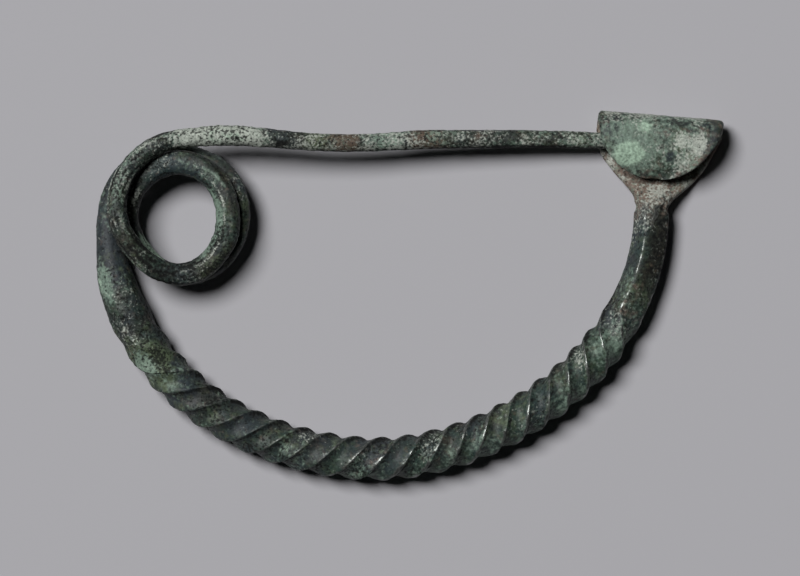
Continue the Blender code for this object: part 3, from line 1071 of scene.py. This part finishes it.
    def skin(self, shapes: list[tuple[int, int]]) -> dict:
        """Faces between neighbouring rings of all stretches, and one to close each end.

        Where the next stretch has twice the points around, each of its odd points is joined by
        three triangles.

        Args:
            shapes: rings and points around for each stretch.

        Returns:
            Quads, triangles and the two end faces.
        """
        quads, triangles = [], []
        first = 0
        for number, (rings, around) in enumerate(shapes):
            quads.append(ring_quads(first, rings, around))
            start = first + rings * around
            if number + 1 < len(shapes):
                place = np.arange(around)
                this = start - around + place
                after = start - around + (place + 1) % around
                if shapes[number + 1][1] == around:
                    quads.append(np.stack((this, after, after + around, this + around), axis=1))
                else:
                    even = start + 2 * place
                    beyond = start + 2 * ((place + 1) % around)
                    triangles.append(np.stack((this, even + 1, even), axis=1))
                    triangles.append(np.stack((this, after, even + 1), axis=1))
                    triangles.append(np.stack((after, beyond, even + 1), axis=1))
            first = start
        around = shapes[-1][1]
        caps = [list(range(shapes[0][1] - 1, -1, -1)), list(range(first - around, first))]
        return {"quads": np.concatenate(quads), "triangles": np.concatenate(triangles), "caps": caps}

    def vertex_normals(self, points: np.ndarray, faces: dict) -> np.ndarray:
        """Unit normals at the points: the faces' normals added up, each weighted by its area.

        Args:
            points: places of the points.
            faces: quads and triangles between them.

        Returns:
            One outward direction for each point.
        """
        quads = faces["quads"]
        corners = np.concatenate((quads[:, [0, 1, 2]], quads[:, [0, 2, 3]], faces["triangles"]))
        edges = points[corners]
        crossed = np.cross(edges[:, 1] - edges[:, 0], edges[:, 2] - edges[:, 0])
        total = np.zeros_like(points)
        for corner in range(3):
            for axis in range(3):
                total[:, axis] += np.bincount(corners[:, corner], crossed[:, axis], len(points))
        return total / np.maximum(np.linalg.norm(total, axis=1), 1e-12)[:, None]

    def corrode(self, points: np.ndarray, normals: np.ndarray, fields: dict) -> tuple[dict, np.ndarray]:
        """Work out the relief and how much of each coat lies at each point.

        Args:
            points: places on the smooth metal, in millimetres.
            normals: outward directions there.
            fields: where each point lies on the metal, by the names that the rings give.

        Returns:
            The cover of each coat, and how far each point is lifted along its normal.
        """
        marks = self.roughening
        along, aside = fields["along"], fields["aside"]
        rough, pitted, drawn = marks.amounts(along)
        lengthwise = np.stack((along / marks.streak_stretch, aside, fields["above"]), axis=1)
        streaks = Grain(13).fractal(lengthwise, marks.streak_width, 2)
        forging = Grain(3).fractal(points, marks.forging_size, 2)
        grit = Grain(5).fractal(points, marks.grit_size, 3, 0.6)
        pits = Grain(7).pits(points, marks.pit_size, marks.pit_share)
        clusters = smooth_step(Grain(9).waves(points, marks.hole_clusters), -0.2, 0.3)
        holes = Grain(8).pits(points, marks.hole_size, marks.hole_share) * clusters
        topside = smooth_step(normals[:, 2], -0.35, 0.15)
        twisted = smooth_step(along, 211.0, 218.0) * (1.0 - smooth_step(along, 290.0, 296.0))
        covers = self.coats(points, fields, topside, twisted, drawn * streaks)

        lift = marks.forging_height * forging + rough * grit + drawn * streaks
        lift = lift - 0.8 * pitted * pits**0.7 - marks.hole_depth * holes
        lift = lift + marks.crust_height * covers[Coat.MINT] * smooth_step(grit, -0.1, 0.6)
        crevice = self.crevices(points, along)
        lift = lift - np.maximum(lift, 0.0) * crevice

        # Painted shade: darker in the gaps between the spring's strands and in the groove after each crest
        # of the twist. Also darker in pits, holes and the low parts of the grit and streaks, and on the
        # twist towards its left edge.
        groove_shade = np.exp(-(((fields["share"] + 0.72) / 0.22) ** 2)) * twisted
        painted_shade_and_grime = 0.85 * crevice + 0.40 * pits * (pitted / 0.12) + 0.35 * holes + 0.38 * groove_shade
        painted_shade_and_grime = painted_shade_and_grime + 0.20 * smooth_step(-grit, 0.1, 0.7) + 3.0 * drawn * smooth_step(-streaks, 0.0, 0.5)
        painted_shade_and_grime = painted_shade_and_grime + 0.45 * twisted * smooth_step(aside, 1.7, 3.0)
        dirt_and_shade = np.clip(painted_shade_and_grime, 0.0, 1.0)
        for patch in PATCHES[Coat.DIRT_AND_SHADE]:
            dirt_and_shade = np.clip(dirt_and_shade + topside * patch_cover(patch, along, aside), 0.0, 1.0)
        covers[Coat.DIRT_AND_SHADE] = dirt_and_shade
        covers[Coat.WORN] = self.rubbed(points, normals, fields)
        return covers, lift

    def coats(self, points: np.ndarray, fields: dict, topside: np.ndarray, twisted: np.ndarray,
              streaks: np.ndarray) -> dict:
        """Cover of each coat: its amount along the metal, swung by noise, and its patches on top.

        Args:
            points: places on the smooth metal, in millimetres.
            fields: where each point lies on the metal.
            topside: how far each point faces up, from 0 to 1.
            twisted: 1 on the twist, where coats also change from strand to strand, and 0 elsewhere.
            streaks: height of the streaks, which hold pale crust and have pores between them.

        Returns:
            The covers by coat.
        """
        along, aside = fields["along"], fields["aside"]
        strands = np.stack((along / 5.0, fields["band"] * 7.3, np.zeros_like(along)), axis=1)
        follows = {Coat.CHALK: 4.5, Coat.MINT: 4.5, Coat.PORES: -4.5}
        covers = {}
        for number, (coat, knots) in enumerate(COAT_ALONG.items()):
            cover = np.interp(along, *columns(knots))
            swing = 0.12 if coat is Coat.PORES else 0.45 - 0.15 * twisted
            cover = cover + swing * Grain(20 + number).fractal(points, 5.0, 3)
            cover = cover + 0.55 * twisted * Grain(40 + number).waves(strands, 1.0)
            cover = cover + LEAN_OF_COATS.get(coat, 0.0) * twisted * aside
            cover = cover + follows.get(coat, 0.0) * streaks
            for patch in PATCHES.get(coat, ()):
                cover = cover + topside * patch_cover(patch, along, aside)
            covers[coat] = np.clip(cover, 0.0, 1.0)
        return covers

    def rubbed(self, points: np.ndarray, normals: np.ndarray, fields: dict) -> np.ndarray:
        """Where the metal is worn bare: the crests of the twist, the leg's edges and its bevel.

        Args:
            points: places on the smooth metal, in millimetres.
            normals: outward directions there.
            fields: where each point lies on the metal.

        Returns:
            The cover of bare metal at each point.
        """
        along, share = fields["along"], fields["share"]
        start = np.interp(along, (236.0, 246.0, 276.0, 286.0), (0.66, 0.40, 0.44, 0.60))
        crest = np.maximum(smooth_step(share, start, 0.92), smooth_step(-share, 0.88, 0.98))
        crest = crest * np.interp(along, (211.0, 218.0, 238.0, 248.0), (0.0, 0.5, 0.6, 1.0))
        crest = crest * np.where(along > 295.0, 0.8 * smooth_step(normals[:, 2], 0.8, 0.98), 1.0)
        patchy = np.clip(0.7 + 1.6 * Grain(60).waves(points, 1.5), 0.0, 1.0)
        return np.maximum(crest, fields["ridge"]) * patchy

    def crevices(self, points: np.ndarray, along: np.ndarray) -> np.ndarray:
        """How deep in the gap between two strands of the spring each point lies, from 0 to 1.

        Args:
            points: places on the smooth metal, in millimetres.
            along: distance of each point along the metal.

        Returns:
            1 where another strand touches, and 0 from the strand gap outwards.
        """
        line = self.spring.rows()[:, :3]
        pin_length = travelled(np.concatenate((self.pin.rows()[:, :3], line[:1])))[-1]
        distance = travelled(line) + pin_length
        near = np.flatnonzero((along > distance[0] - 10.0) & (along < distance[-1] + 8.0))
        gap = np.full(len(near), 9.0)
        for place, where in zip(line, distance):
            away = np.linalg.norm(points[near] - place, axis=1) - self.spring.wire_radius
            away[np.abs(along[near] - where) < 14.0] = 9.0
            gap = np.minimum(gap, away)
        crevice = np.zeros(len(points))
        crevice[near] = 1.0 - smooth_step(gap, 0.05, self.strand_gap_mm)
        return crevice

    def add_object(self, points: np.ndarray, faces: dict, covers: dict) -> Object:
        """Put the points, faces and covers into a mesh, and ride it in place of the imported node.

        Args:
            points: places in millimetres.
            faces: quads, triangles and end faces.
            covers: cover of each coat at each point.

        Returns:
            The finished object.
        """
        mesh = bpy.data.meshes.new(NODE_NAME + "_metal")
        polygons = faces["quads"].tolist() + faces["triangles"].tolist() + faces["caps"]
        mesh.from_pydata((METRES_PER_MM * points).tolist(), [], polygons)
        for coat, cover in covers.items():
            layer = mesh.attributes.new(coat.value, "FLOAT", "POINT")
            layer.data.foreach_set("value", cover.astype(np.float32))
        mesh.update()
        mesh.shade_smooth()
        piece = bpy.data.objects.new("twisted_bow_fibula", mesh)
        bpy.context.scene.collection.objects.link(piece)
        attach(piece, BODY_NAME)
        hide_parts(NODE_NAME)
        return piece

    def dress(self, piece: Object) -> None:
        """Give the brooch its finish."""
        piece.data.materials.append(self.finish.material())


@dataclass(frozen=True)
class Studio:
    """Pale table, one soft lamp, a faint sky and a camera that looks straight down."""

    floor_colour: str = "#b2b1b5"
    floor_sides: int = 96
    floor_flat_m: float = 1.8
    floor_reach_m: float = 3.6
    floor_rise_m: float = 0.06
    view_centre_mm: tuple = (-1.43, 1.07)
    view_width_mm: float = 114.6
    lens_mm: float = 300.0
    sensor_mm: float = 36.0
    key_from: tuple = (-2.10, 1.78, 4.46)
    key_size_m: float = 2.3
    key_watts: float = 288.0
    sky_colour: str = "#dfe2e8"
    sky_strength: float = 0.007

    def lay_floor(self) -> None:
        """A plain matt sheet, flat under the brooch and lifted a little all round, far away.

        The lifted rim closes off the dark beyond it where the brooch is seen from low down. It rises
        as a smooth step of the distance from the middle.
        """
        radii = np.append(np.linspace(self.floor_flat_m, self.floor_reach_m, 12), 2.0 * self.floor_reach_m)
        rise = self.floor_rise_m * smooth_step(radii, self.floor_flat_m, self.floor_reach_m)
        turn = np.linspace(0.0, 2.0 * math.pi, self.floor_sides, endpoint=False)
        points = np.empty((len(radii), self.floor_sides, 3))
        points[..., 0] = radii[:, None] * np.cos(turn)
        points[..., 1] = radii[:, None] * np.sin(turn)
        points[..., 2] = (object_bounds()[0][2] + rise)[:, None]
        quads = ring_quads(0, len(radii), self.floor_sides)[:, ::-1]
        mesh = bpy.data.meshes.new("floor")
        faces = [list(range(self.floor_sides))] + quads.tolist()
        mesh.from_pydata(points.reshape(-1, 3).tolist(), [], faces)
        mesh.shade_smooth()
        # Matt paper has almost no shine, so that only the soft shadow shows on it.
        material = bpy.data.materials.new("matt_paper")
        material.use_nodes = True
        shader = material.node_tree.nodes["Principled BSDF"]
        shader.inputs["Base Color"].default_value = linear_colour(self.floor_colour)
        shader.inputs["Roughness"].default_value = 0.95
        shader.inputs["Specular IOR Level"].default_value = 0.1
        mesh.materials.append(material)
        floor = bpy.data.objects.new("floor", mesh)
        bpy.context.scene.collection.objects.link(floor)
        floor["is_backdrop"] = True

    def light(self) -> None:
        """One large soft lamp from beyond the spring, and a faint even sky."""
        lamp = bpy.data.lights.new("key", "AREA")
        lamp.shape = "DISK"
        lamp.size = self.key_size_m
        lamp.energy = self.key_watts
        holder = bpy.data.objects.new("key", lamp)
        holder.location = self.key_from
        holder.rotation_euler = Vector(self.key_from).to_track_quat("Z", "Y").to_euler()
        bpy.context.scene.collection.objects.link(holder)
        world = bpy.data.worlds.new("studio")
        world.use_nodes = True
        background = world.node_tree.nodes["Background"]
        background.inputs["Color"].default_value = linear_colour(self.sky_colour)
        background.inputs["Strength"].default_value = self.sky_strength
        bpy.context.scene.world = world

    def place_camera(self) -> None:
        """A long lens far above the brooch, so that its high strands aren't spread outwards."""
        camera = bpy.data.cameras.new("camera")
        camera.lens = self.lens_mm
        camera.sensor_width = self.sensor_mm
        distance = self.lens_mm * self.view_width_mm / self.sensor_mm
        holder = bpy.data.objects.new("camera", camera)
        holder.location = METRES_PER_MM * Vector((*self.view_centre_mm, distance))
        bpy.context.scene.collection.objects.link(holder)
        bpy.context.scene.camera = holder
        bpy.context.scene.view_settings.view_transform = "Standard"


def main() -> None:
    """Build and dress the brooch, then set up the studio around it."""
    logging.basicConfig(level=logging.INFO, format="%(name)s: %(message)s")
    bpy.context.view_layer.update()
    studio = Studio()
    studio.place_camera()
    brooch = Fibula()
    piece = brooch.build()
    brooch.dress(piece)
    log.info("%s: %d points, %d faces", piece.name, len(piece.data.vertices), len(piece.data.polygons))
    studio.lay_floor()
    studio.light()


if __name__ == "__main__":
    main()
